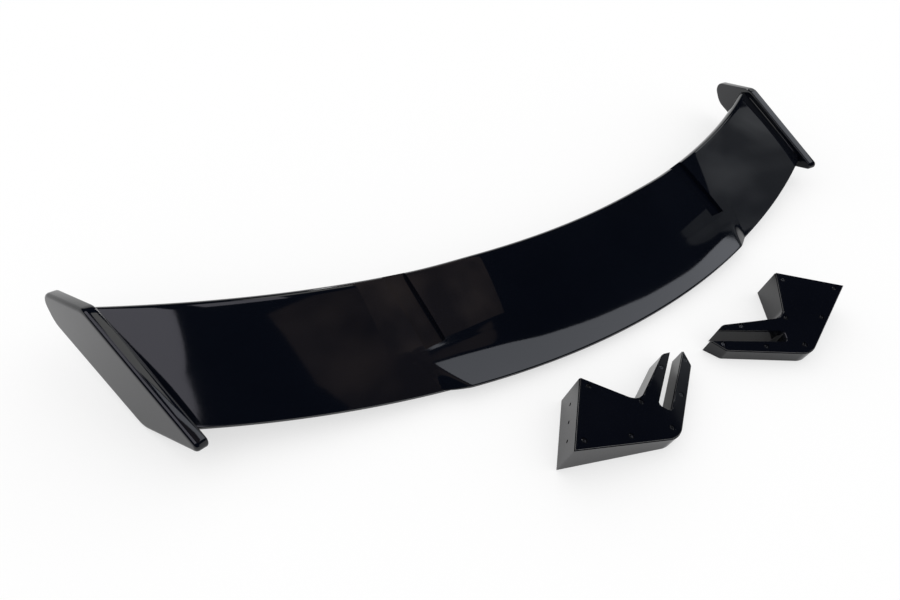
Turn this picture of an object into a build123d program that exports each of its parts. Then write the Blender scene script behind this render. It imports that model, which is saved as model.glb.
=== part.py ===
from build123d import *
import os
from math import atan, atan2, cos, degrees, pi, radians, sin, sqrt, tan

# Rear wing spoiler of a hatchback: one moulded wing and its two legs, each with a screwed cover.
# The wing is drawn level, with X across the car, Y forward and Z up. Its Y is zero at the middle of
# the leading edge and its Z is zero at the lower edges of the end plates. It is then tipped back to
# the attitude in which it lies on a floor, with the two legs lying behind it on their flat backs.

# Blade, drawn as sections across the car
bow_radius = 1400.0          # plan radius of the leading and trailing edges
chord = 168.5                # leading edge to trailing edge
lead_height = 71.0           # top of the leading edge beside the crown
lead_droop = 10.3            # how much lower it is at the droop station
droop_station = 620.0
droop_power = 4
tail_height = 41.5           # top of the trailing edge at the middle
tail_washout = 11.5          # how much higher the trailing edge is at the washout station
washout_station = 545.0
washout_power = 1.4
crown_height = 3.3           # extra height of the leading edge over the middle
crown_flat = 150.0           # half width of the full crown
crown_end = 260.0            # where the crown has died out
nose_thickness = 21.0
nose_break = 7.0             # degrees between the round nose and the faces it joins
tail_thickness = 4.5
belly_length = 96.0          # flat run of the underside behind the nose
belly_share = 0.88           # slope of the flat underside against the slope of the chord
top_front_share = 0.55       # slope of the top at the nose against the slope of the chord

# Upturned trailing lip of the middle
lip_half = 271.5             # half length along its trailing edge
lip_run_out = 25.0           # sloping end beyond it
lip_skew = 29.5              # degrees by which its ends widen forward
run_out_skew = 18.4          # the same for the foot of the sloping ends
lip_depth = 55.5             # front to back
lip_overhang = 9.0           # how far it stands behind the blade's trailing edge
lip_height = 53.0            # top of its trailing edge
lip_thickness = 4.5
lip_hollow = 2.2             # hollow of its top below the straight line
lip_root = 12.5              # how far its front end runs on inside the blade
lip_sink = 1.6               # and how deep it is buried there

# Channels in the leading edge that take the legs
channel_x = 276.5
channel_width = 30.0
channel_back = 83.5          # rear wall, behind the middle of the leading edge
blade_grip = 15.0            # blade left between channel floor and underside

# End plates, drawn on their own outer plane from its lower front corner
plate_front_x = 646.0
plate_front_y = 172.5
plate_toe = 14.1             # degrees, narrowing rearward
plate_cant = 14.3            # degrees, lower edge outward
plate_thickness = 15.0
plate_length = 180.0         # lower edge
plate_tip_out = 33.0         # front tip ahead of the lower front corner
plate_tip_rise = 27.0
plate_top_front = 61.0       # start of the top edge, behind the lower front corner
plate_front_height = 80.5
plate_back_out = 89.0        # rear tip behind the lower rear corner
plate_back_rise = 62.0
plate_back_run = 7.0         # end of the top edge ahead of the rear tip
plate_back_height = 70.0
plate_tip_radius = 15.0
plate_corner_radius = 33.0   # the other corners, but for the rear tip's
plate_back_radius = 6.5
plate_edge_radius = 4.5      # round rim of the outer face
plate_inner_bevel = 2.5      # bevelled rim of the inner face

# Legs, drawn on the cover plane from the heel of the foot, X along the slot towards its mouth
foot_length = 98.0
foot_angle = 12.0            # degrees between the foot and the slot
foot_depth = 48.8            # height of the cover's heel above the floor
wedge_angle = 13.2           # degrees between the cover and the flat back
slot_drop = 84.7             # from the heel down to the middle of the slot
slot_start = 117.8           # from the heel along to the closed end of the slot
slot_clearance = 0.6
slot_end_radius = 5.0
upper_arm_reach = 106.0      # slot length along the arm that lies over the blade
lower_arm_reach = 92.0
upper_arm_root = 18.0        # arm thickness at the closed end of the slot
upper_arm_tip = 14.7
upper_tip_slant = 18.9
lower_arm_root = 22.2
lower_arm_tip = 9.2
lower_tip_slant = 9.9
throat_back = 9.4            # throat of the fork, back from the closed end of the slot
heel_run = 88.2              # from the heel along to the lower corner
heel_radius = 27.0
throat_radius = 22.0
lower_tip_radius = 8.0
upper_tip_radius = 6.0
back_edge = 1.5              # bevel round the flat back
leg_rim = 17.0               # thick rim round the pocket in the leg
leg_floor = 3.5              # wall under the pocket
cover_thickness = 3.2
cover_inset = 0.6
cover_edge = 0.8

# Cover screw holes: places along the slot and across it, from the middle of the slot's closed end
web_screws = [(-28.3, 92.6), (-100.5, 78.7), (-63.1, 30.7), (-10.4, 29.0), (-22.6, -12.7), (31.8, -16.0)]
lower_tip_screw = 34.2       # back from the tip of the lower arm
lower_screw_rise = 14.6
upper_tip_screw = 15.4       # back from the tip of the upper arm
upper_screw_drop = 13.2
bore_radius = 3.5            # counterbore that hides the screw head
bore_depth = 1.9
cover_hole_radius = 1.8

# Screw holes in the foot, for the car's own bolts
foot_hole_radius = 2.1
foot_hole_pitch = 25.0
foot_hole_count = 3
foot_hole_depth = 14.0

# Lay-out on the floor, in the wing's own directions
leg_heel_x = -240.3
leg_heel_y = -299.7          # behind the middle of the leading edge
leg_stagger = 8.1            # how much further back the right leg lies
leg_heading = 31.9          # degrees from X to the slot, closed end to mouth
leg_pair_x = 20.3            # plane between the two legs

# Sections of the lofts
outer_steps = 6              # from the end of the crown to a plate
crown_steps = 3              # over the fading of the crown
lip_steps = 4                # from the middle of the lip to an end


# Blade
def bow(x):
    return bow_radius - sqrt(bow_radius**2 - x**2)


def lead_top(x):
    run = min(max((abs(x) - crown_flat) / (crown_end - crown_flat), 0.0), 1.0)
    crown = crown_height * (0.5 + 0.5 * cos(pi * run))
    return lead_height + crown - lead_droop * (abs(x) / droop_station) ** droop_power


def tail_top(x):
    return tail_height + tail_washout * (abs(x) / washout_station) ** washout_power


def rearward(slope):
    return (-cos(slope), -sin(slope))


def forward(slope):
    return (cos(slope), sin(slope))


def section_plane(x):
    return Plane(origin=(x, 0, 0), x_dir=(0, 1, 0), z_dir=(1, 0, 0))


def top_line(x):
    """Front end, run and fall of the blade's top curve at one station, behind its round nose."""
    front = (bow(x) - nose_thickness / 2, lead_top(x))
    return front, chord - nose_thickness / 2, front[1] - tail_top(x)


def top_height(x, y):
    """Height of the blade's top at one place."""
    front, run, fall = top_line(x)
    share = (front[0] - y) / run
    return front[1] - fall * (top_front_share * share + (1 - top_front_share) * share**2)


def belly_slope(x):
    return atan(belly_share * (lead_top(x) - tail_top(x)) / chord)


def belly_front(x):
    return (bow(x) - nose_thickness / 2, lead_top(x) - nose_thickness)


nose_turn = radians(nose_break)
crown_step = (crown_end - crown_flat) / crown_steps
outer_step = (plate_front_x - crown_end) / outer_steps
half_stations = [crown_flat / 2]
half_stations += [crown_flat + crown_step * k for k in range(crown_steps)]
half_stations += [crown_end + outer_step * k for k in range(outer_steps + 1)]
stations = [-x for x in reversed(half_stations)] + [0.0] + half_stations

# Outer planes of the two end plates
toe = radians(plate_toe)
cant = radians(plate_cant)


def plate_plane(side, inward=0.0):
    """Plane of a plate's outer face, or one inside it, for side 1 or -1."""
    outer = Plane(
        origin=(side * plate_front_x, plate_front_y, 0),
        x_dir=(side * sin(toe), cos(toe), 0),
        z_dir=(side * cos(toe) * cos(cant), -sin(toe) * cos(cant), sin(cant)),
    )
    return outer.offset(-inward)


with BuildPart() as blade:
    for station in stations:
        front, run, fall = top_line(station)
        front_slope = atan(top_front_share * fall / run)
        back_slope = atan((2 - top_front_share) * fall / run)
        low_front = belly_front(station)
        low_slope = belly_slope(station)
        belly_run = belly_length * cos(low_slope)
        low_back = (low_front[0] - belly_run, low_front[1] - belly_run * tan(low_slope))
        tail = (front[0] - run, tail_top(station))
        tail_low = (tail[0], tail[1] - tail_thickness)
        tail_slope = 2 * atan((low_back[1] - tail_low[1]) / (low_back[0] - tail_low[0])) - low_slope
        middle_y = front[0] - run / 2
        with BuildSketch(section_plane(station)):
            with BuildLine():
                Spline(
                    front,
                    (middle_y, top_height(station, middle_y)),
                    tail,
                    tangents=[rearward(front_slope), rearward(back_slope)],
                )
                Line(tail, tail_low)
                Spline(tail_low, low_back, tangents=[forward(tail_slope), forward(low_slope)])
                Line(low_back, low_front)
                Spline(
                    low_front,
                    (bow(station), (front[1] + low_front[1]) / 2),
                    front,
                    tangents=[forward(low_slope + nose_turn), rearward(front_slope - nose_turn)],
                )
            make_face()
    loft(ruled=True)
    for side in (-1, 1):
        split(bisect_by=plate_plane(side, plate_thickness / 2), keep=Keep.BOTTOM)


# Trailing lip with its two sloping ends
def lip_plane(x, skew):
    """Upright plane at one place of the trailing edge, its front swung towards +X by skew degrees."""
    turn = radians(skew)
    foot = (x, bow(x) - chord, 0)
    return Plane(origin=foot, x_dir=(sin(turn), cos(turn), 0), z_dir=(cos(turn), -sin(turn), 0))


def lip_section(x, skew, rise):
    """Section of the lip: rise is 1 at full height and 0 where it has run out into the blade."""
    plane = lip_plane(x, skew)
    reach = (lip_depth - lip_overhang + lip_root) / cos(radians(skew))
    place = plane.from_local_coords((reach, 0, 0))
    tail_z = tail_top(x)
    sink = lip_sink * (1 + rise) / 2
    edge = lip_thickness * rise + lip_sink * (1 - rise)
    front = (reach, top_height(place.X, place.Y) - sink)
    back = (-lip_overhang * rise, tail_z + (lip_height - tail_z) * rise - sink * (1 - rise))
    hollow = ((front[0] + back[0]) / 2, (front[1] + back[1]) / 2 - lip_hollow * rise)
    under = (back[0], back[1] - edge)
    root = (tail_thickness, tail_z - tail_thickness + lip_sink)
    with BuildSketch(plane) as section:
        with BuildLine():
            Spline(front, hollow, back)
            Polyline(back, under, root, (front[0], front[1] - lip_sink), front)
        make_face()
    return section.sketch


lip_shares = [k / lip_steps for k in range(-lip_steps, lip_steps + 1)]
lip_end = lip_half + lip_run_out

# Channel profile, from its rear wall forward past the nose
channel_low = belly_front(channel_x)
channel_slope = belly_slope(channel_x)
channel_nose = bow(channel_x) + nose_thickness


def channel_floor(y):
    return channel_low[1] + blade_grip / cos(channel_slope) + (y - channel_low[0]) * tan(channel_slope)


# Right hand end plate with a round outer rim
plate_reach = plate_length + plate_back_out
plate_corners = [
    (0, 0),
    (plate_tip_out, plate_tip_rise),
    (-plate_top_front, plate_front_height),
    (plate_back_run - plate_reach, plate_back_height),
    (-plate_reach, plate_back_rise),
    (-plate_length, 0),
]
plate_radii = [plate_corner_radius, plate_tip_radius, plate_corner_radius]
plate_radii += [plate_back_radius, plate_back_radius, plate_corner_radius]

with BuildPart() as end_plate:
    with BuildSketch(plate_plane(1)):
        with BuildLine():
            FilletPolyline(*plate_corners, radius=plate_radii, close=True)
        make_face()
    extrude(amount=-plate_thickness)
    plate_faces = end_plate.faces().filter_by(plate_plane(1)).sort_by(Axis.X)
    fillet(plate_faces[-1].edges(), radius=plate_edge_radius)
    chamfer(plate_faces[0].edges(), length=plate_inner_bevel)

# Wing: blade, lip, channels and both plates in one moulding
with BuildPart() as wing:
    add(blade.part)
    loft([lip_section(share * lip_half, share * lip_skew, 1.0) for share in lip_shares], ruled=True)
    for side in (-1, 1):
        lip_tip = lip_section(side * lip_half, side * lip_skew, 1.0)
        lip_foot = lip_section(side * lip_end, side * run_out_skew, 0.0)
        loft([lip_tip, lip_foot], ruled=True)
    for side in (-1, 1):
        with BuildSketch(section_plane(side * channel_x)):
            with BuildLine():
                Polyline(
                    (-channel_back, channel_floor(-channel_back)),
                    (channel_nose, channel_floor(channel_nose)),
                    (channel_nose, 2 * lead_height),
                    (-channel_back, 2 * lead_height),
                    close=True,
                )
            make_face()
        extrude(amount=channel_width / 2, both=True, mode=Mode.SUBTRACT)
    add(end_plate.part)
    mirror(end_plate.part, about=Plane.YZ)

# The wing lies on the lower rear corners of its plates and on the middle of its trailing edge
rest_y = plate_front_y - plate_length * cos(toe)
rest_tilt = degrees(atan2(tail_top(0) - tail_thickness, rest_y + chord))
tipped_wing = Rotation(rest_tilt, 0, 0) * wing.part
lying_wing = Pos(0, 0, -tipped_wing.bounding_box().min.Z) * tipped_wing

# Legs: the left one is drawn where it lies, the right one is its mirror image
slot_width = blade_grip + slot_clearance
slot_top = -slot_drop + slot_width / 2
slot_low = -slot_drop - slot_width / 2
foot_rise = foot_length * sin(radians(foot_angle))
foot_run = foot_length * cos(radians(foot_angle))
heading = radians(leg_heading)
wedge = radians(wedge_angle)
floor_plane = Plane.XY
cover_top = Plane(
    origin=(leg_heel_x, leg_heel_y, foot_depth),
    x_dir=(cos(heading), sin(heading), 0),
    z_dir=(sin(heading) * sin(wedge), -cos(heading) * sin(wedge), cos(wedge)),
)
cover_seat = cover_top.offset(-cover_thickness)
leg_mirror = Plane.YZ.offset(leg_pair_x)
leg_corners = [
    (0, 0),
    (foot_run, foot_rise),
    (slot_start - throat_back, slot_top + lower_arm_root),
    (slot_start + lower_arm_reach - lower_tip_slant, slot_top + lower_arm_tip),
    (slot_start + lower_arm_reach, slot_top),
    (slot_start, slot_top),
    (slot_start, slot_low),
    (slot_start + upper_arm_reach, slot_low),
    (slot_start + upper_arm_reach - upper_tip_slant, slot_low - upper_arm_tip),
    (heel_run, slot_low - upper_arm_root),
]
leg_radii = [0, 0, throat_radius, lower_tip_radius, 0, slot_end_radius, slot_end_radius, 0, upper_tip_radius]
leg_radii.append(heel_radius)
arm_screws = [
    (lower_arm_reach - lower_tip_screw, lower_screw_rise),
    (upper_arm_reach - upper_tip_screw, -upper_screw_drop),
]
screw_spots = [(slot_start + along, across - slot_drop) for along, across in web_screws + arm_screws]
foot_toe = cover_top.from_local_coords((foot_run, foot_rise, 0))
foot_line = (foot_toe - cover_top.origin).normalized()
foot_middle = cover_top.from_local_coords((foot_run / 2, foot_rise / 2, -foot_depth / 2))
foot_face = Plane(origin=foot_middle, x_dir=foot_line, z_dir=cover_top.z_dir.cross(foot_line))

with BuildSketch(Plane.XY) as leg_outline:
    with BuildLine():
        FilletPolyline(*leg_corners, radius=leg_radii, close=True)
    make_face()

# Deep enough to reach the floor from anywhere on the leg
leg_depth = 2 * foot_depth

with BuildPart() as leg_pocket:
    with BuildSketch(cover_seat):
        add(leg_outline.sketch)
        offset(amount=-leg_rim, kind=Kind.INTERSECTION, mode=Mode.REPLACE)
    extrude(amount=-leg_depth)
    split(bisect_by=floor_plane.offset(leg_floor), keep=Keep.TOP)

with BuildPart() as leg_body_left:
    with BuildSketch(cover_seat):
        add(leg_outline.sketch)
    extrude(amount=-leg_depth)
    split(bisect_by=floor_plane, keep=Keep.TOP)
    chamfer(leg_body_left.faces().sort_by(Axis.Z)[0].edges(), length=back_edge)
    add(leg_pocket.part, mode=Mode.SUBTRACT)
    with BuildSketch(foot_face):
        with GridLocations(foot_hole_pitch, 0, foot_hole_count, 1):
            Circle(foot_hole_radius)
    extrude(amount=-foot_hole_depth, mode=Mode.SUBTRACT)

with BuildPart() as leg_cover_left:
    with BuildSketch(cover_seat):
        add(leg_outline.sketch)
        offset(amount=-cover_inset, kind=Kind.INTERSECTION, mode=Mode.REPLACE)
    extrude(amount=cover_thickness)
    chamfer(leg_cover_left.faces().filter_by(cover_top).sort_by(Axis.Z)[-1].edges(), length=cover_edge)
    with Locations(*[cover_top * Pos(x, y) for x, y in screw_spots]):
        CounterBoreHole(cover_hole_radius, bore_radius, bore_depth)

pieces = {
    "wing": lying_wing,
    "leg_body_left": leg_body_left.part,
    "leg_cover_left": leg_cover_left.part,
}
for name in ("leg_body", "leg_cover"):
    with BuildPart() as right:
        mirror(pieces[name + "_left"], about=leg_mirror)
    pieces[name + "_right"] = Pos(0, -leg_stagger, 0) * right.part

# The origin is on the floor, under the middle of the whole set
front = pieces["wing"].bounding_box().max.Y
back = pieces["leg_body_right"].bounding_box().min.Y
os.makedirs("parts", exist_ok=True)
for name, piece in pieces.items():
    placed = Pos(0, -(front + back) / 2, 0) * piece
    placed.label = name
    export_step(placed, f"parts/{name}.step")
    print(name, len(placed.solids()), round(placed.volume), placed.is_valid)
print("rest tilt", round(rest_tilt, 2), "centre", round((front + back) / 2, 2))
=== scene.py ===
# %% [markdown]
# # A gloss black rear wing and its two legs
# A hatchback's rear wing is moulded in ABS and lacquered until it mirrors the room. Here it lies on a
# white floor beside the two legs that will carry it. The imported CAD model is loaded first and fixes
# every size and place. The legs keep their CAD meshes, and the wing gets a finer skin of the same
# form, because a mirror shows every facet.

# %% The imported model
from math import atan, cos, pi, radians, sin, sqrt, tan
import bmesh
import bpy
from mathutils import Matrix, Vector


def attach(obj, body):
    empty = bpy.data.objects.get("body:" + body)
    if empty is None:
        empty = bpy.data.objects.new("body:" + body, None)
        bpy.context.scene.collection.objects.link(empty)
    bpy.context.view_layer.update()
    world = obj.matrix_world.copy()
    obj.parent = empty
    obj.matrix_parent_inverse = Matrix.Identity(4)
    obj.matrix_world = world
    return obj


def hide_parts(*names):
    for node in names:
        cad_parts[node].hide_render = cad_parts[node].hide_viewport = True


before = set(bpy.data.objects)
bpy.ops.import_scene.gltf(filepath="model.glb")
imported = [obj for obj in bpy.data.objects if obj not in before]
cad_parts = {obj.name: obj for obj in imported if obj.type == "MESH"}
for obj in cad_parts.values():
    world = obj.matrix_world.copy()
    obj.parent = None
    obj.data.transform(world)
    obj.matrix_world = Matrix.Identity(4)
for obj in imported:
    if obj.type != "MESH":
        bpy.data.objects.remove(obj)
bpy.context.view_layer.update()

print("nodes:", sorted(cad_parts))

# %% [markdown]
# The wing was drawn level and then tipped back until it rested on its plates and trailing edge. All the
# shapes below are worked out in that level position, in millimetres, because the numbers are plainer
# there. One function lays a level point down on the floor and changes it to Blender's metres.

# %% From the level drawing to the floor
REST_TILT = radians(12.534418627)
LIFT = 1.3967           # up, until the lowest point touches the floor
ROW_SHIFT = 80.1265     # forward, until wing and legs together lie centred


def lay(x, y, z):
    """A point of the level wing, in millimetres, where it lies on the floor, in metres."""
    forward = y * cos(REST_TILT) - z * sin(REST_TILT) + ROW_SHIFT
    up = y * sin(REST_TILT) + z * cos(REST_TILT) + LIFT
    return Vector((x, forward, up)) / 1000


print("middle of the leading edge:", tuple(round(v, 4) for v in lay(0, 0, 66)))

# %% [markdown]
# The blade is one long bowed aerofoil. It could be made by bending a profile along a curve, but a real
# blade changes on its way: the leading edge swells over the middle and the tail rises towards the ends.
# So each height is a short formula of the place across the car and along it, and the mesh is a grid of
# points that follows the formulas. That keeps the reflections as smooth as polished lacquer.

# %% The blade's heights
BOW_RADIUS, CHORD, NOSE = 1400.0, 168.5, 21.0
LEAD_Z, LEAD_DROOP, DROOP_AT = 71.0, 10.3, 620.0
CROWN, CROWN_FLAT, CROWN_END = 3.3, 150.0, 260.0
TAIL_Z, WASHOUT, WASHOUT_AT, TAIL_EDGE = 41.5, 11.5, 545.0, 4.5
TOP_FRONT_SHARE, BELLY_SHARE, BELLY_FLAT = 0.55, 0.88, 96.0
DROOP_POWER, WASHOUT_POWER = 4, 1.4
TOP_RUN = CHORD - NOSE / 2


def bow(x):
    """How far forward the bowed edges lie at a place across the car."""
    return BOW_RADIUS - sqrt(BOW_RADIUS**2 - x**2)


def tail_top(x):
    """Top of the trailing edge."""
    return TAIL_Z + WASHOUT * (abs(x) / WASHOUT_AT) ** WASHOUT_POWER


def lead_top(x):
    """Top of the leading edge: crowned over the middle, drooping at the ends."""
    run = min(max((abs(x) - CROWN_FLAT) / (CROWN_END - CROWN_FLAT), 0.0), 1.0)
    droop = LEAD_DROOP * (abs(x) / DROOP_AT) ** DROOP_POWER
    return LEAD_Z + CROWN * (0.5 + 0.5 * cos(pi * run)) - droop


def blade_top(x, y):
    """Top of the blade without its lip, falling faster and faster towards the tail."""
    share = (bow(x) - NOSE / 2 - y) / TOP_RUN
    fall = lead_top(x) - tail_top(x)
    return lead_top(x) - fall * (TOP_FRONT_SHARE * share + (1 - TOP_FRONT_SHARE) * share**2)


def belly_front(x):
    """Underside just behind the nose."""
    return lead_top(x) - NOSE


def belly_slope(x):
    """Slope of the flat run of the underside."""
    return atan(BELLY_SHARE * (lead_top(x) - tail_top(x)) / CHORD)


print("blade top, middle and end:", round(blade_top(0, -80), 1), round(blade_top(560, 35), 1))

# %% [markdown]
# An upturned lip runs along the middle of the trailing edge. On the real moulding it swells out of the
# blade and dies away in a slanting end at each side. A separate strip would leave a seam, so its height
# is a second formula, and a smooth maximum of the two heights melts lip and blade into one skin.

# %% The trailing lip
LIP_HALF, LIP_RUN_OUT, LIP_SKEW, RUN_OUT_SKEW = 271.5, 25.0, 29.5, 18.4
LIP_REACH, LIP_OVERHANG, LIP_Z, LIP_EDGE, LIP_HOLLOW, LIP_SINK = 59.0, 9.0, 53.0, 4.5, 2.0, 1.0
CORNER_SOFTNESS = 0.07      # of the lip's ends, as a share of their run
FOOT_SOFTNESS = 0.7         # of the line where the lip leaves the blade, in mm
NO_LIP = -100.0             # a height far below the blade
LIP_FRONT_FALL = 0.2        # how fast the lip's surface dives ahead of its foot


def lip_turn(s):
    """Skew and rise of the lip at one place of the trailing edge; rise is 1 at full height."""
    over = (abs(s) - LIP_HALF) / LIP_RUN_OUT
    past = (over + sqrt(over**2 + CORNER_SOFTNESS**2)) / 2
    rise = min(max(1 - past, 0.0), 1.0)
    skew = LIP_SKEW * min(abs(s) / LIP_HALF, 1.0)
    skew += (RUN_OUT_SKEW - LIP_SKEW) * min(max(over, 0.0), 1.0)
    return radians(skew) * (1 if s > 0 else -1), rise


def lip_station(x, y):
    """The place on the trailing edge whose skewed section runs through a point, and how far along it."""
    s = x
    for _ in range(24):
        skew, _rise = lip_turn(s)
        along = (y - bow(s) + CHORD) / cos(skew)
        s = 0.5 * s + 0.5 * (x - along * sin(skew))
    return s, along


def lip_top(x, y):
    """Top of the lip, hollow between its rear edge and its foot on the blade."""
    if abs(x) > LIP_HALF + LIP_RUN_OUT + LIP_REACH:
        return NO_LIP
    s, along = lip_station(x, y)
    skew, rise = lip_turn(s)
    if rise <= 0:
        return NO_LIP
    reach = LIP_REACH / cos(skew)
    sink = LIP_SINK * (1 + rise) / 2
    front_z = blade_top(s + reach * sin(skew), bow(s) - CHORD + reach * cos(skew)) - sink
    back_z = tail_top(s) + (LIP_Z - tail_top(s)) * rise - sink * (1 - rise)
    share = (along + LIP_OVERHANG * rise) / (reach + LIP_OVERHANG * rise)
    if share > 1:
        return front_z - LIP_FRONT_FALL * (along - reach)
    return back_z + (front_z - back_z) * share - 4 * LIP_HOLLOW * rise * share * (1 - share)


def skin_top(x, y):
    """Top of the whole wing: the higher of blade and lip, with a soft change between them."""
    blade, lip = blade_top(x, y), lip_top(x, y)
    return (blade + lip + sqrt((blade - lip) ** 2 + FOOT_SOFTNESS**2)) / 2


def rear_edge(x):
    """Rear end of the top at one station, and the lip's rise there."""
    s = x
    for _ in range(12):
        skew, rise = lip_turn(s)
        s = x + LIP_OVERHANG * rise * sin(skew)
    return bow(s) - CHORD - LIP_OVERHANG * rise * cos(skew), rise


print("lip stands", round(skin_top(0, rear_edge(0)[0]) - blade_top(0, -CHORD), 1), "mm above the tail")

# %% [markdown]
# A section of the wing is a ring of points: along the underside from nose to tail, round the rear edge,
# forward over the top and round the nose. Two channels in the leading edge take the legs. Cutting them
# out with a Boolean would leave ragged triangles, so the grid has doubled lines at the channel's walls
# instead: one line on the skin and one on the channel's floor, and the faces between are the walls.

# %% One section of the wing
CHANNEL_X, CHANNEL_HALF, CHANNEL_BACK, BLADE_GRIP = 276.5, 15.0, -83.5, 15.0
EDGE_ROUND, EDGE_STEPS = 1.5, 5
NOSE_STEPS, FRONT_STEPS, REAR_STEPS, BELLY_STEPS = 9, 22, 36, 9
NOSE_PULL = 0.28            # of the nose's thickness: makes the two curves of the nose nearly round
LIP_FOOT_ZONE = 12.0        # ahead of the channel's end, where the lip's foot can still show


def channel_floor(y):
    """Floor of a channel, which leaves the blade's grip for the leg's slot."""
    slope = belly_slope(CHANNEL_X)
    front = bow(CHANNEL_X) - NOSE / 2
    return belly_front(CHANNEL_X) + BLADE_GRIP / cos(slope) + (y - front) * tan(slope)


def split_line(x):
    """The row on which the channels end, bowed like the edges outside them."""
    side = min(max(abs(x), CHANNEL_X - CHANNEL_HALF), CHANNEL_X + CHANNEL_HALF)
    return CHANNEL_BACK + bow(x) - bow(side)


def bezier(a, b, c, d, t):
    """Point of a cubic curve between a and d."""
    u = 1 - t
    weights = (u**3, 3 * u * u * t, 3 * u * t * t, t**3)
    return tuple(sum(w * v for w, v in zip(weights, values)) for values in zip(a, b, c, d))


def section(x, in_channel=False):
    """Ring of (y, z) points, from the underside of the nose to the tail, over the top and back."""
    top_front = (bow(x) - NOSE / 2, lead_top(x))
    low_front = (bow(x) - NOSE / 2, belly_front(x))
    fall = top_front[1] - tail_top(x)
    low, rise_front = belly_slope(x), atan(TOP_FRONT_SHARE * fall / TOP_RUN)
    low_back = (low_front[0] - BELLY_FLAT * cos(low), low_front[1] - BELLY_FLAT * sin(low))
    tail_y = bow(x) - CHORD
    tail_low = (tail_y, tail_top(x) - TAIL_EDGE)
    pull = (low_back[0] - tail_low[0]) / 3
    steep = 2 * (low_back[1] - tail_low[1]) / (low_back[0] - tail_low[0]) - tan(low)
    ring = []
    for k in range(BELLY_STEPS):
        share = k / BELLY_STEPS
        ring.append((low_front[0] + (low_back[0] - low_front[0]) * share,
                     low_front[1] + (low_back[1] - low_front[1]) * share))
    for k in range(BELLY_STEPS):
        ring.append(bezier(low_back, (low_back[0] - pull, low_back[1] - pull * tan(low)),
                           (tail_low[0] + pull, tail_low[1] + pull * steep), tail_low, k / BELLY_STEPS))
    rear_y, rise = rear_edge(x)
    edge = LIP_EDGE * rise + 1.0 * (1 - rise)
    turn = min(EDGE_ROUND, 0.9 * edge)
    rear_z = skin_top(x, rear_y + turn)
    ring.append(tail_low)
    ring.append((tail_y, tail_top(x) + 0.4 * rise - 1.5 * (1 - rise)))
    ring.append((rear_y, rear_z - edge))
    for k in range(EDGE_STEPS):
        angle = k / EDGE_STEPS * pi / 2
        ring.append((rear_y + turn * (1 - cos(angle)), rear_z - turn * (1 - sin(angle))))
    wall_y = split_line(x)
    for k in range(REAR_STEPS + 1):
        y = rear_y + turn + (wall_y - rear_y - turn) * k / REAR_STEPS
        ring.append((y, skin_top(x, y)))
    front = []
    for k in range(FRONT_STEPS + 1):
        y = wall_y + (top_front[0] - wall_y) * k / FRONT_STEPS
        front.append((y, skin_top(x, y) if y < wall_y + LIP_FOOT_ZONE else blade_top(x, y)))
    tip = (bow(x), (top_front[1] + low_front[1]) / 2)
    pull = NOSE_PULL * NOSE
    top_arm = (top_front[0] + pull * cos(rise_front), top_front[1] + pull * sin(rise_front))
    low_arm = (low_front[0] + pull * cos(low), low_front[1] + pull * sin(low))
    for k in range(1, NOSE_STEPS + 1):
        front.append(bezier(top_front, top_arm, (tip[0], tip[1] + pull), tip, k / NOSE_STEPS))
    for k in range(1, NOSE_STEPS):
        front.append(bezier(tip, (tip[0], tip[1] - pull), low_arm, low_front, k / NOSE_STEPS))
    if in_channel:
        front = [(y, min(z, channel_floor(y))) for y, z in front]
    return ring + front


print("points in a section:", len(section(0)))

# %% [markdown]
# At each end the blade runs into an end plate that leans outward and narrows towards the rear. The last
# lines of the grid follow the plate's inner face, and the skin flares out there in a small hollow round,
# as the lacquer and the mould do on the real wing.

# %% The plates' inner faces
PLATE_X, PLATE_Y, TOE, CANT, PLATE_THICK = 646.0, 172.5, radians(14.1), radians(14.3), 15.0
FLARE = 4.0                 # radius of the hollow round between blade and plate
FLARE_FADE = 15.0           # over which it dies out towards the blade's two edges
LAST_FLAT_X = 520.0         # the last upright section
FIRST_GUESS_X = 590.0       # where the search for the plate's inner face starts


def plate_axes(side):
    """Forward, upward and outward directions of a plate."""
    ahead = Vector((side * sin(TOE), cos(TOE), 0))
    outward = Vector((side * cos(TOE) * cos(CANT), -sin(TOE) * cos(CANT), sin(CANT)))
    upward = outward.cross(ahead) if side > 0 else ahead.cross(outward)
    return ahead, upward, outward


def inner_face_x(side, y, z, gap):
    """Where across the car a point lies that is gap millimetres inside the plate's inner face."""
    _, _, out = plate_axes(1)
    return side * (PLATE_X - (PLATE_THICK + gap + out.y * (y - PLATE_Y) + out.z * z) / out.x)


def plate_column(side, share, gap):
    """A ring of the grid between the last upright section and the plate."""
    column = []
    for row in range(len(section(LAST_FLAT_X))):
        x = side * FIRST_GUESS_X
        for _ in range(4):
            ring = section(x)
            y, z = ring[row]
            x = side * LAST_FLAT_X + share * (inner_face_x(side, y, z, gap) - side * LAST_FLAT_X)
        before, after = ring[row - 1], ring[(row + 1) % len(ring)]
        dy, dz = after[0] - before[0], after[1] - before[1]
        size = sqrt(dy * dy + dz * dz)
        near = min(max(FLARE - gap, 0.0), FLARE) if share == 1 else 0.0
        from_tail = (y - rear_edge(x)[0] - 2) / FLARE_FADE
        from_nose = (bow(x) - NOSE / 2 - y) / FLARE_FADE
        inside = min(max(from_tail, 0.0), max(from_nose, 0.0), 1.0)
        grow = (FLARE - sqrt(FLARE**2 - near**2)) * (inside if dy > 0 else 0.0)
        column.append((x, y - grow * dz / size, z + grow * dy / size))
    return column


print("plate directions:", [tuple(round(v, 3) for v in a) for a in plate_axes(1)])

# %% [markdown]
# Now the sections are set side by side. They stand close together where the shape changes fast, at the
# channels and at the lip's ends, and wider apart over the plain blade. The last ring of each end lies
# just inside the plate, so that no light shows between the two.

# %% The grid of the blade
GAPS = [4.0, 2.6, 1.5, 0.7, 0.2, -1.5]      # from the plate's inner face, in mm; the last is inside it
END_RINGS = 7


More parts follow.
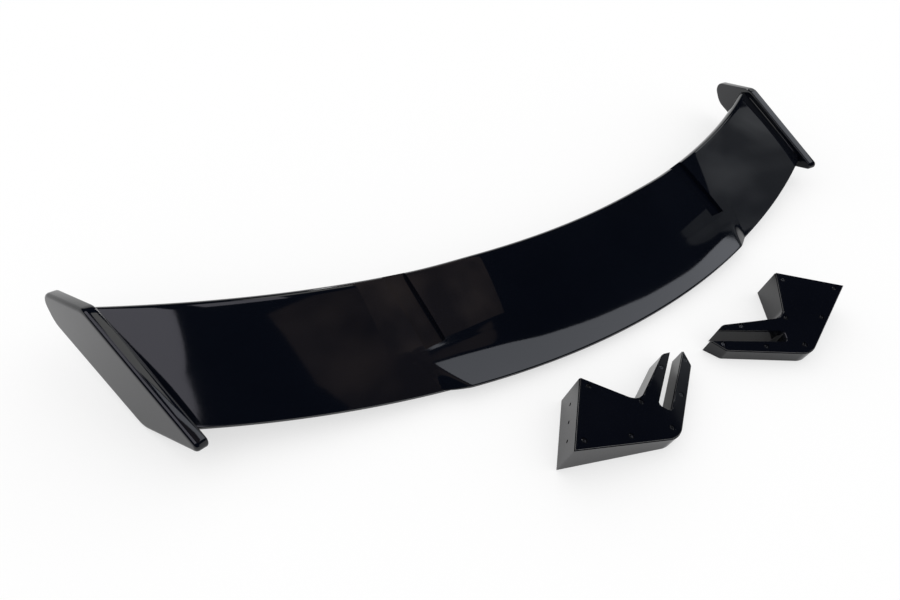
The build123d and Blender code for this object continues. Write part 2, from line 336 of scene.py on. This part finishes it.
def steps(start, stop, size):
    """Even steps from start up to stop, both included."""
    count = max(1, round((stop - start) / size))
    return [start + (stop - start) * k / count for k in range(count + 1)]


wall_in, wall_out = CHANNEL_X - CHANNEL_HALF, CHANNEL_X + CHANNEL_HALF
half = [(x, False) for x in steps(0, 234, 6) + steps(236, wall_in, 2)]
half += [(x, True) for x in steps(wall_in, wall_out, 2)]
half += [(x, False) for x in steps(wall_out, 312, 2) + steps(320, LAST_FLAT_X, 8)]
upright = [(-x, cut) for x, cut in reversed(half[1:])] + half
grid = [[(x, y, z) for y, z in section(x, cut)] for x, cut in upright]
for side in (-1, 1):
    ends = [plate_column(side, k / END_RINGS, GAPS[0]) for k in range(1, END_RINGS + 1)]
    ends += [plate_column(side, 1, gap) for gap in GAPS[1:]]
    grid = grid + ends if side > 0 else ends[::-1] + grid
print("grid:", len(grid), "rings of", len(grid[0]), "points")

# %% [markdown]
# The end plates are flat boards with round corners and a round rim. A Bevel modifier would do, but the
# rim is wide enough to show its own reflections, so it is drawn as a stack of outlines, each a little
# smaller than the one before. One helper draws such an outline and moves it inward.

# %% Round-cornered outlines
ARC_STEPS = 7
SMALLEST_RADIUS = 0.02


def outline(corners, radii, inset=0.0):
    """Closed outline with round corners, moved inward by inset; the number of points never changes."""
    count = len(corners)
    following = corners[1:] + corners[:1]
    area = sum(a[0] * b[1] - b[0] * a[1] for a, b in zip(corners, following))
    turn = 1 if area > 0 else -1
    lines = []
    for a, b in zip(corners, following):
        way = (Vector(b) - Vector(a)).normalized()
        lines.append((Vector(a) + Vector((-way.y, way.x)) * turn * inset, way))
    points = []
    for i in range(count):
        (p, u), (q, v) = lines[i - 1], lines[i]
        cross = u.x * v.y - u.y * v.x
        gap = q - p
        corner = p + u * ((gap.x * v.y - gap.y * v.x) / cross)
        side = 1 if cross > 0 else -1
        radius = max(radii[i] - inset * turn * side, SMALLEST_RADIUS)
        half_turn = abs(u.angle(v)) / 2
        start = corner - u * radius * tan(half_turn)
        centre = start + Vector((-u.y, u.x)) * radius * side
        for k in range(ARC_STEPS + 1):
            angle = 2 * half_turn * k / ARC_STEPS * side
            arm = start - centre
            points.append(centre + Vector((arm.x * cos(angle) - arm.y * sin(angle),
                                           arm.x * sin(angle) + arm.y * cos(angle))))
    return points


plate_corners = [(0, 0), (33, 27), (-61, 80.5), (-262, 70), (-269, 62), (-180, 0)]
plate_radii = [33, 15, 33, 6.5, 6.5, 33]
print("plate outline:", len(outline(plate_corners, plate_radii)), "points")

# %% [markdown]
# The real wing comes out of its mould in one piece, so blade and plates go into one mesh. Each is a tube
# of four-sided faces through its rings, with a flat cap at either end. A Bevel modifier then takes the
# razor sharpness off the remaining edges, as a mould and a coat of lacquer do.

# %% Blade and plates in one mesh
OUTER_RIM, INNER_RIM = 4.5, 2.5     # the outer face's rim is rounder than the inner one's
RIM_FLAT = 1.5                      # flat ring beyond a rim, which keeps the face's shading flat
mesh = bmesh.new()


def skin(rings):
    """Adds a tube of quads through rings of level points, with a flat end on the first and last."""
    made = [[mesh.verts.new(lay(*point)) for point in ring] for ring in rings]
    count = len(made[0])
    for ring, following in zip(made, made[1:]):
        for i in range(count):
            j = (i + 1) % count
            mesh.faces.new((ring[i], ring[j], following[j], following[i]))
    mesh.faces.new(made[0])
    mesh.faces.new(list(reversed(made[-1])))


skin(grid)
rim = [(OUTER_RIM + RIM_FLAT, 0.0)]
for angle in (k * pi / 12 for k in range(7)):
    rim.append((OUTER_RIM * (1 - sin(angle)), OUTER_RIM * (1 - cos(angle))))
for angle in (k * pi / 8 for k in range(5)):
    rim.append((INNER_RIM * (1 - cos(angle)), PLATE_THICK - INNER_RIM * (1 - sin(angle))))
rim.append((INNER_RIM + RIM_FLAT, PLATE_THICK))
for side in (-1, 1):
    ahead, upward, outward = plate_axes(side)
    foot = Vector((side * PLATE_X, PLATE_Y, 0))
    rings = []
    for inset, depth in rim:
        flat = outline(plate_corners, plate_radii, inset)
        rings.append([foot + ahead * p.x + upward * p.y - outward * depth for p in flat])
    skin(rings)
bmesh.ops.remove_doubles(mesh, verts=mesh.verts[:], dist=2e-6)
bmesh.ops.recalc_face_normals(mesh, faces=mesh.faces[:])
for face in mesh.faces:
    face.smooth = True
wing_data = bpy.data.meshes.new("wing_skin")
mesh.to_mesh(wing_data)
mesh.free()
wing = bpy.data.objects.new("wing_skin", wing_data)
bpy.context.scene.collection.objects.link(wing)
soft = wing.modifiers.new("soft edges", "BEVEL")
soft.width, soft.segments = 0.0005, 2
soft.limit_method, soft.angle_limit = "ANGLE", radians(40)
soft.harden_normals = True
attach(wing, "root")
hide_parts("wing")
print("wing:", len(wing_data.polygons), "faces")

# %% [markdown]
# The legs are plain moulded boxes with a screwed cover, and the CAD model already has their true shape.
# Only its edges are too sharp to catch the light, so the CAD pieces stay and get three modifiers: Weld
# joins the triangles at their corners, Bevel rounds the sharp edges by half a millimetre, and Weighted
# Normal keeps the flat faces flat.

# %% Softer edges for the legs
LEG_NODES = ["leg_body_left", "leg_body_right", "leg_cover_left", "leg_cover_right"]
for name in LEG_NODES:
    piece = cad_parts[name]
    weld = piece.modifiers.new("weld", "WELD")
    weld.merge_threshold = 1e-5
    soft = piece.modifiers.new("soft edges", "BEVEL")
    soft.width, soft.segments = 0.00045, 2
    soft.limit_method, soft.angle_limit = "ANGLE", radians(28)
    level = piece.modifiers.new("flat faces", "WEIGHTED_NORMAL")
    level.keep_sharp = False
print("softened:", len(LEG_NODES), "pieces")

# %% [markdown]
# Each cover is held by eight small plated screws whose heads sit in counterbores. They would be turned
# or pressed from wire; here one head is a short stack of rings that ends in a six-sided socket. A loop
# puts a copy in every bore, in the cover's own sloping plane, so no screw has to be placed by hand.

# %% Cover screws
HEEL, HEADING, WEDGE = Vector((-240.3, -299.7, 48.8)), radians(31.9), radians(13.2)
PAIR_X, STAGGER = 20.3, 8.1         # plane between the legs, and how much further back the right one lies
SLOT_START, SLOT_DROP = 117.8, 84.7
BORE_FLOOR = -1.9                   # below the cover's face
spots = [(-28.3, 92.6), (-100.5, 78.7), (-63.1, 30.7), (-10.4, 29.0), (-22.6, -12.7), (31.8, -16.0)]
spots += [(92 - 34.2, 14.6), (106 - 15.4, -13.2)]      # back from the tips of the lower and upper arm
along_slot = Vector((cos(HEADING), sin(HEADING), 0))
cover_up = Vector((sin(HEADING) * sin(WEDGE), -cos(HEADING) * sin(WEDGE), cos(WEDGE)))
across_slot = cover_up.cross(along_slot)
HEAD_RINGS = [(2.9, 0.0), (2.9, 0.8), (2.7, 1.1), (2.3, 1.3), (1.5, 1.3), (1.4, 0.3)]  # radius, height
ROUND_RINGS = 4                     # the rings after these belong to the socket
HEAD_POINTS = 24


def on_cover(side, x, y, z):
    """A point of a leg's cover plane on the floor, in metres; the right leg is the left one's mirror."""
    point = HEEL + along_slot * x + across_slot * y + cover_up * z
    if side > 0:
        point = Vector((2 * PAIR_X - point.x, point.y - STAGGER, point.z))
    return Vector((point.x, point.y + ROW_SHIFT, point.z)) / 1000


for side, name in ((-1, "cover_screws_left"), (1, "cover_screws_right")):
    mesh = bmesh.new()
    for x, y in spots:
        rings = []
        for place, (radius, height) in enumerate(HEAD_RINGS):
            ring = []
            for k in range(HEAD_POINTS):
                angle = 2 * pi * k / HEAD_POINTS
                r = radius
                if place >= ROUND_RINGS:
                    r = r * cos(pi / 6) / cos((angle + pi / 6) % (pi / 3) - pi / 6)
                along, across = SLOT_START + x + r * cos(angle), y - SLOT_DROP + r * sin(angle)
                ring.append(mesh.verts.new(on_cover(side, along, across, BORE_FLOOR + height)))
            rings.append(ring)
        for ring, following in zip(rings, rings[1:]):
            for i in range(HEAD_POINTS):
                j = (i + 1) % HEAD_POINTS
                mesh.faces.new((ring[i], ring[j], following[j], following[i]))
        mesh.faces.new(rings[0])
        mesh.faces.new(rings[-1])
    bmesh.ops.recalc_face_normals(mesh, faces=mesh.faces[:])
    data = bpy.data.meshes.new(name)
    mesh.to_mesh(data)
    mesh.free()
    screws = bpy.data.objects.new(name, data)
    bpy.context.scene.collection.objects.link(screws)
    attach(screws, "root")
    print(name, len(data.polygons), "faces")

# %% [markdown]
# Gloss black lacquer is almost all reflection: the paint itself is nearly black with a trace of blue,
# and the clear surface mirrors about a twentieth of the light that falls on it steeply and far more at
# a grazing angle. One small function adds shader nodes, and another changes web colours to the linear
# values that Blender works in.

# %% Shader helpers
def add_node(tree, kind, links=(), **settings):
    """Adds a node; settings are its properties or its input values, links are (input, socket) pairs."""
    made = tree.nodes.new("ShaderNode" + kind)
    for name, value in settings.items():
        if hasattr(made, name):
            setattr(made, name, value)
        else:
            made.inputs[name.replace("_", " ")].default_value = value
    for name, socket in links:
        tree.links.new(socket, made.inputs[name])
    return made


def linear(web_colour):
    """A web colour such as #0a0b10 as linear red, green, blue and alpha."""
    parts = [int(web_colour[i:i + 2], 16) / 255 for i in (1, 3, 5)]
    return [p / 12.92 if p <= 0.04045 else ((p + 0.055) / 1.055) ** 2.4 for p in parts] + [1.0]


print("black of the lacquer:", [round(v, 4) for v in linear("#03050b")])

# %% [markdown]
# The wing, the legs and the covers are moulded in ABS, sprayed with black lacquer and polished. The eye
# sees a mirror that is a little uneven: the black varies in clouds about 110 mm wide, the surface rolls
# in waves of about 36 mm, as a moulded wall does, and the spray gun leaves fine dimples. Real dimples are
# 1 to 2 mm wide, too fine for this picture, so they are drawn at about 4.5 mm. The index of refraction,
# 1.45, is close to the 1.5 that is typical of lacquer, and so is a roughness of 0.05 of polish. The screws
# are zinc plated steel: a metal, grey, fairly smooth, with a grain of about a millimetre.

# %% Lacquered ABS and plated steel
CLOUDS, WAVES, DIMPLES, GRAINS = 9.0, 28.0, 220.0, 900.0     # per metre: 111, 36, 4.5 and 1.1 mm wide
PEEL = 4e-6         # height of the dimples, in metres
WAVE_SHARE = 9      # the waves are this much higher


def lacquer(name, dark, pale, roughness):
    """Sprayed gloss lacquer on moulded ABS: a deep black with the faint orange peel of a spray gun."""
    material = bpy.data.materials.new(name)
    material.use_nodes = True
    tree = material.node_tree
    shader = tree.nodes["Principled BSDF"]
    place = add_node(tree, "TexCoord").outputs["Object"]
    cloud = add_node(tree, "TexNoise", [("Vector", place)], Scale=CLOUDS, Detail=3.0)
    tone = add_node(tree, "ValToRGB", [("Fac", cloud.outputs["Fac"])])
    tone.color_ramp.elements[0].color, tone.color_ramp.elements[1].color = linear(dark), linear(pale)
    gloss = add_node(tree, "MapRange", [("Value", cloud.outputs["Fac"])],
                     To_Min=roughness * 0.7, To_Max=roughness * 1.3)
    orange_peel = add_node(tree, "TexNoise", [("Vector", place)], Scale=DIMPLES, Detail=1.0)
    waves = add_node(tree, "TexNoise", [("Vector", place)], Scale=WAVES, Detail=1.0)
    fine = add_node(tree, "Bump", [("Height", orange_peel.outputs["Fac"])], Distance=PEEL, Strength=1.0)
    both = add_node(tree, "Bump", [("Height", waves.outputs["Fac"]), ("Normal", fine.outputs["Normal"])],
                    Distance=PEEL * WAVE_SHARE, Strength=1.0)
    tree.links.new(tone.outputs["Color"], shader.inputs["Base Color"])
    tree.links.new(gloss.outputs["Result"], shader.inputs["Roughness"])
    tree.links.new(both.outputs["Normal"], shader.inputs["Normal"])
    shader.inputs["IOR"].default_value = 1.45
    return material


# The wing is polished best and mirrors sharply; the small legs are a shade rougher and blur a little.
wing_gloss = lacquer("ABS_gloss_black_lacquer_sprayed", "#03050b", "#080b13", 0.05)
leg_gloss = lacquer("ABS_gloss_black_lacquer_legs", "#04060b", "#090b12", 0.07)
cover_gloss = lacquer("ABS_gloss_black_lacquer_covers", "#04060c", "#090b13", 0.06)
wing.data.materials.append(wing_gloss)
for name in LEG_NODES:
    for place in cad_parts[name].material_slots:
        place.material = leg_gloss if "body" in name else cover_gloss

# Zinc on steel gives the eye a small grey glint in each bore.
steel = bpy.data.materials.new("Steel_zinc_plated_screws")
steel.use_nodes = True
shader = steel.node_tree.nodes["Principled BSDF"]
grain = add_node(steel.node_tree, "TexNoise", Scale=GRAINS)
blackened = add_node(steel.node_tree, "ValToRGB", [("Fac", grain.outputs["Fac"])])
blackened.color_ramp.elements[0].color = linear("#6e7074")
blackened.color_ramp.elements[1].color = linear("#888a8e")
steel.node_tree.links.new(blackened.outputs["Color"], shader.inputs["Base Color"])
shader.inputs["Metallic"].default_value = 1.0
shader.inputs["Roughness"].default_value = 0.15
for name in ("cover_screws_left", "cover_screws_right"):
    bpy.data.objects[name].data.materials.append(steel)
print("materials:", [m.name for m in (wing_gloss, leg_gloss, cover_gloss, steel)])

# %% [markdown]
# The object lies on a sheet of white paper. A matte sheet would show its full shadow and turn grey under
# the wing, so Light Path tells the rays apart: the camera sees paper that glows a little and stays nearly
# white with a soft shadow, and a mirror sees almost the plain paper with its deeper shade.

# %% The floor
FLOOR_HALF = 30.0                           # metres; far beyond the picture
CAMERA_GLOW, MIRROR_GLOW = 0.6, 0.05        # share of glowing white that each kind of ray sees
corners = [(-FLOOR_HALF, -FLOOR_HALF, 0), (FLOOR_HALF, -FLOOR_HALF, 0),
           (FLOOR_HALF, FLOOR_HALF, 0), (-FLOOR_HALF, FLOOR_HALF, 0)]
floor_data = bpy.data.meshes.new("floor")
floor_data.from_pydata(corners, [], [(0, 1, 2, 3)])
floor = bpy.data.objects.new("floor", floor_data)
bpy.context.scene.collection.objects.link(floor)
paper = bpy.data.materials.new("Paper_matte_white")
paper.use_nodes = True
tree = paper.node_tree
tree.nodes.clear()
ray = add_node(tree, "LightPath")
matte = add_node(tree, "BsdfDiffuse", Color=linear("#ffffff"))
white = add_node(tree, "Emission", Color=linear("#ffffff"), Strength=1.0)
both = [(1, matte.outputs[0]), (2, white.outputs[0])]
pale_shade = add_node(tree, "MixShader", both, Fac=CAMERA_GLOW)
deep_shade = add_node(tree, "MixShader", both, Fac=MIRROR_GLOW)
for_camera = add_node(tree, "MixShader", [("Fac", ray.outputs["Is Camera Ray"]),
                                          (1, matte.outputs[0]), (2, pale_shade.outputs[0])])
for_mirrors = add_node(tree, "MixShader", [("Fac", ray.outputs["Is Glossy Ray"]),
                                           (1, for_camera.outputs[0]), (2, deep_shade.outputs[0])])
add_node(tree, "OutputMaterial", [("Surface", for_mirrors.outputs[0])])
floor_data.materials.append(paper)
print("floor:", 2 * FLOOR_HALF, "m square")

# %% [markdown]
# A black mirror shows the room more than itself, so the room is half of the finish. The light that falls
# on the floor is plain and white from everywhere. Only mirrors see more: a dark ceiling, a white wall
# along the horizon, and a dark room on the side where the camera stands, as behind any photographer.

# %% The room
WALL_FULL, WALL_ENDS = 0.30, 0.42           # height of the wall, as the sine of the angle above the floor
LOOK_ALONG = (0.63, 0.776, 0.0)             # from the dark side of the room to the white one
DARK_UP_TO, WHITE_FROM = -0.45, -0.2        # along that way
DARK = "#1c1d20"
world = bpy.data.worlds.new("studio")
bpy.context.scene.world = world
world.use_nodes = True
tree = world.node_tree
ray = add_node(tree, "LightPath")
way = add_node(tree, "TexCoord").outputs["Generated"]
height = add_node(tree, "SeparateXYZ", [("Vector", way)]).outputs["Z"]
low = add_node(tree, "MapRange", [("Value", height)], From_Min=WALL_ENDS, From_Max=WALL_FULL)
onward = add_node(tree, "VectorMath", [(0, way)], operation="DOT_PRODUCT")
onward.inputs[1].default_value = LOOK_ALONG
beyond = add_node(tree, "MapRange", [("Value", onward.outputs["Value"])],
                  From_Min=DARK_UP_TO, From_Max=WHITE_FROM)
plain = add_node(tree, "Background", Color=linear("#ffffff"), Strength=1.0)
dark = add_node(tree, "Background", Color=linear(DARK), Strength=1.0)
wall = add_node(tree, "MixShader", [("Fac", low.outputs["Result"]),
                                    (1, dark.outputs[0]), (2, plain.outputs[0])])
room = add_node(tree, "MixShader", [("Fac", beyond.outputs["Result"]),
                                    (1, dark.outputs[0]), (2, wall.outputs[0])])
mirror = add_node(tree, "MixShader", [("Fac", ray.outputs["Is Glossy Ray"]),
                                      (1, plain.outputs[0]), (2, room.outputs[0])])
tree.links.new(mirror.outputs[0], tree.nodes["World Output"].inputs["Surface"])
print("room:", len(tree.nodes), "nodes")

# %% [markdown]
# The grey streaks on the blade, the lip and the plates are softboxes seen in the lacquer. Each is a flat
# glowing shape hung where a ray from the camera goes after it bounces off that part of the wing, and its
# outline is the outline of the streak. Dark cards lie low over the blade and a leg and keep a softbox out
# of them, as a photographer does with black board. Cloudy ones give the dim brownish patches. None of
# them lights the floor or shows in the picture itself.

# %% Softboxes and cards
CLOUD_SCALE = 2.6               # patches across a cloudy panel
CLOUD_DARK, CLOUD_PALE = 0.36, 0.66
CLOUD_LOW = 0.4                 # strength of the darkest patch, as a share
NEAR, FAR, CARD = 1.2, 8.0, 0.13    # heights above the floor, in metres


def panel(name, corners, colour, strength, cloudy=False):
    """A light panel that only mirrors see; a cloudy one glows in soft uneven patches."""
    data = bpy.data.meshes.new(name)
    data.from_pydata(corners, [], [tuple(range(len(corners)))])
    made = bpy.data.objects.new(name, data)
    bpy.context.scene.collection.objects.link(made)
    glow = bpy.data.materials.new(name)
    glow.use_nodes = True
    tree = glow.node_tree
    tree.nodes.clear()
    light = add_node(tree, "Emission", Color=linear(colour), Strength=strength)
    if cloudy:
        place = add_node(tree, "TexCoord").outputs["Generated"]
        cloud = add_node(tree, "TexNoise", [("Vector", place)], Scale=CLOUD_SCALE, Detail=2.0)
        patch = add_node(tree, "MapRange", [("Value", cloud.outputs["Fac"])], From_Min=CLOUD_DARK,
                         From_Max=CLOUD_PALE, To_Min=strength * CLOUD_LOW, To_Max=strength)
        tree.links.new(patch.outputs["Result"], light.inputs["Strength"])
    add_node(tree, "OutputMaterial", [("Surface", light.outputs[0])])
    data.materials.append(glow)
    made.visible_camera = made.visible_diffuse = made.visible_shadow = False


# name, height, colour, strength, cloudy, outline from above
flat_panels = [
    # the grey streak on the left end of the blade
    ("panel_left", NEAR, "#f4f2ff", 1.8, False,
     [(-1.8, -0.3), (-0.53, -0.3), (-0.53, 0.04), (-0.565, 0.24), (-0.55, 0.47), (-0.6, 1.2), (-1.8, 1.2)]),
    # the rim of the left plate, and the narrow hollow where it meets the blade
    ("panel_plate", NEAR, "#f6f6f2", 1.8, False,
     [(-0.22, 0.5), (0.2, 0.5), (0.2, 0.95), (-0.22, 0.95)]),
    ("panel_hollow", NEAR, "#f4f2ff", 1.6, False,
     [(-0.46, 0.46), (-0.2, 0.375), (-0.2, 0.66), (-0.46, 0.66)]),
    # dim patches on the blade, left of the lip
    ("panel_dim", NEAR, "#cbb5a8", 0.45, True,
     [(-0.24, -0.1), (-0.06, -0.5), (0.42, -0.5), (0.36, -0.26), (0.15, -0.24), (0.15, 0.32), (-0.3, 0.3)]),
    # the bright band on the lip
    ("panel_lip", FAR, "#f2f6ff", 2.05, False,
     [(2.8, -1.3), (3.4, -1.1), (4.4, -0.6), (5.0, -0.35), (6.0, -0.05), (7.5, 0.25), (10.4, 0.35),
      (10.4, 3.0), (2.9, 3.0), (2.8, -0.1)]),
    # the right end of the blade and the fork of the left leg; then the thin edges of plates and blade
    ("panel_right", FAR, "#eef2f6", 0.45, True,
     [(10.6, -2.6), (14.5, -2.2), (17.5, 1.0), (17.5, 4.0), (10.9, 3.0)]),
    ("panel_back", FAR, "#f2f4f6", 1.3, False,
     [(14.1, 5.1), (10.1, 11.2), (4.8, 5.35), (6.77, 2.6)]),
]
# over the middle of the blade, over the left leg's cover and round the left channel
cards = [
    ("flag_over_blade", CARD, DARK, 1.0, False,
     [(-0.125, -0.034), (0.0, -0.036), (0.3, -0.032), (0.4, 0.0), (0.42, 0.2), (-0.125, 0.2)]),
    ("flag_over_leg", CARD, DARK, 1.0, False,
     [(-0.17, -0.25), (0.02, -0.25), (0.02, -0.135), (-0.17, -0.135)]),
    ("flag_warm", CARD, "#cbb5a8", 0.65, True,
     [(-0.31, -0.016), (-0.25, -0.022), (-0.125, -0.034), (-0.125, 0.2), (-0.31, 0.2)]),
]
for name, height, colour, strength, cloudy, shape in flat_panels + cards:
    panel(name, [(x, y, height) for x, y in shape], colour, strength, cloudy)
# a small bright window, which only the narrow round edges can catch
panel("window", [(1.1, 3.4, 1.7), (2.0, 2.8, 1.7), (2.0, 2.8, 2.3), (1.1, 3.4, 2.3)], "#ffffff", 12.0)
print("softboxes:", len(flat_panels) + 1, "cards:", len(cards))

# %% [markdown]
# The camera stands behind the wing and to its left, about 0.6 m up, and looks down over the trailing
# edge, as in the photograph. The lens is fairly wide, so the near plate looks much larger than the far
# one. Its three directions were found by fitting the CAD model's edges to the picture, and they are set
# as the columns of a matrix: right, up and backwards.

# %% Camera
camera_data = bpy.data.cameras.new("camera")
camera_data.sensor_width, camera_data.lens = 36.0, 24.8
camera_data.clip_start = 0.01
camera = bpy.data.objects.new("camera", camera_data)
bpy.context.scene.collection.objects.link(camera)
right = Vector((0.817016, -0.571785, 0.074484))
down = Vector((-0.351706, -0.596525, -0.721429))
ahead = Vector((0.456934, 0.563223, -0.688471))
turned = Matrix((right, -down, -ahead)).transposed().to_4x4()
camera.matrix_world = Matrix.Translation((-0.588804, -0.416455, 0.599450)) @ turned
bpy.context.scene.camera = camera
bpy.context.scene.view_settings.view_transform = "Standard"
print("camera at", tuple(round(v, 3) for v in camera.location))
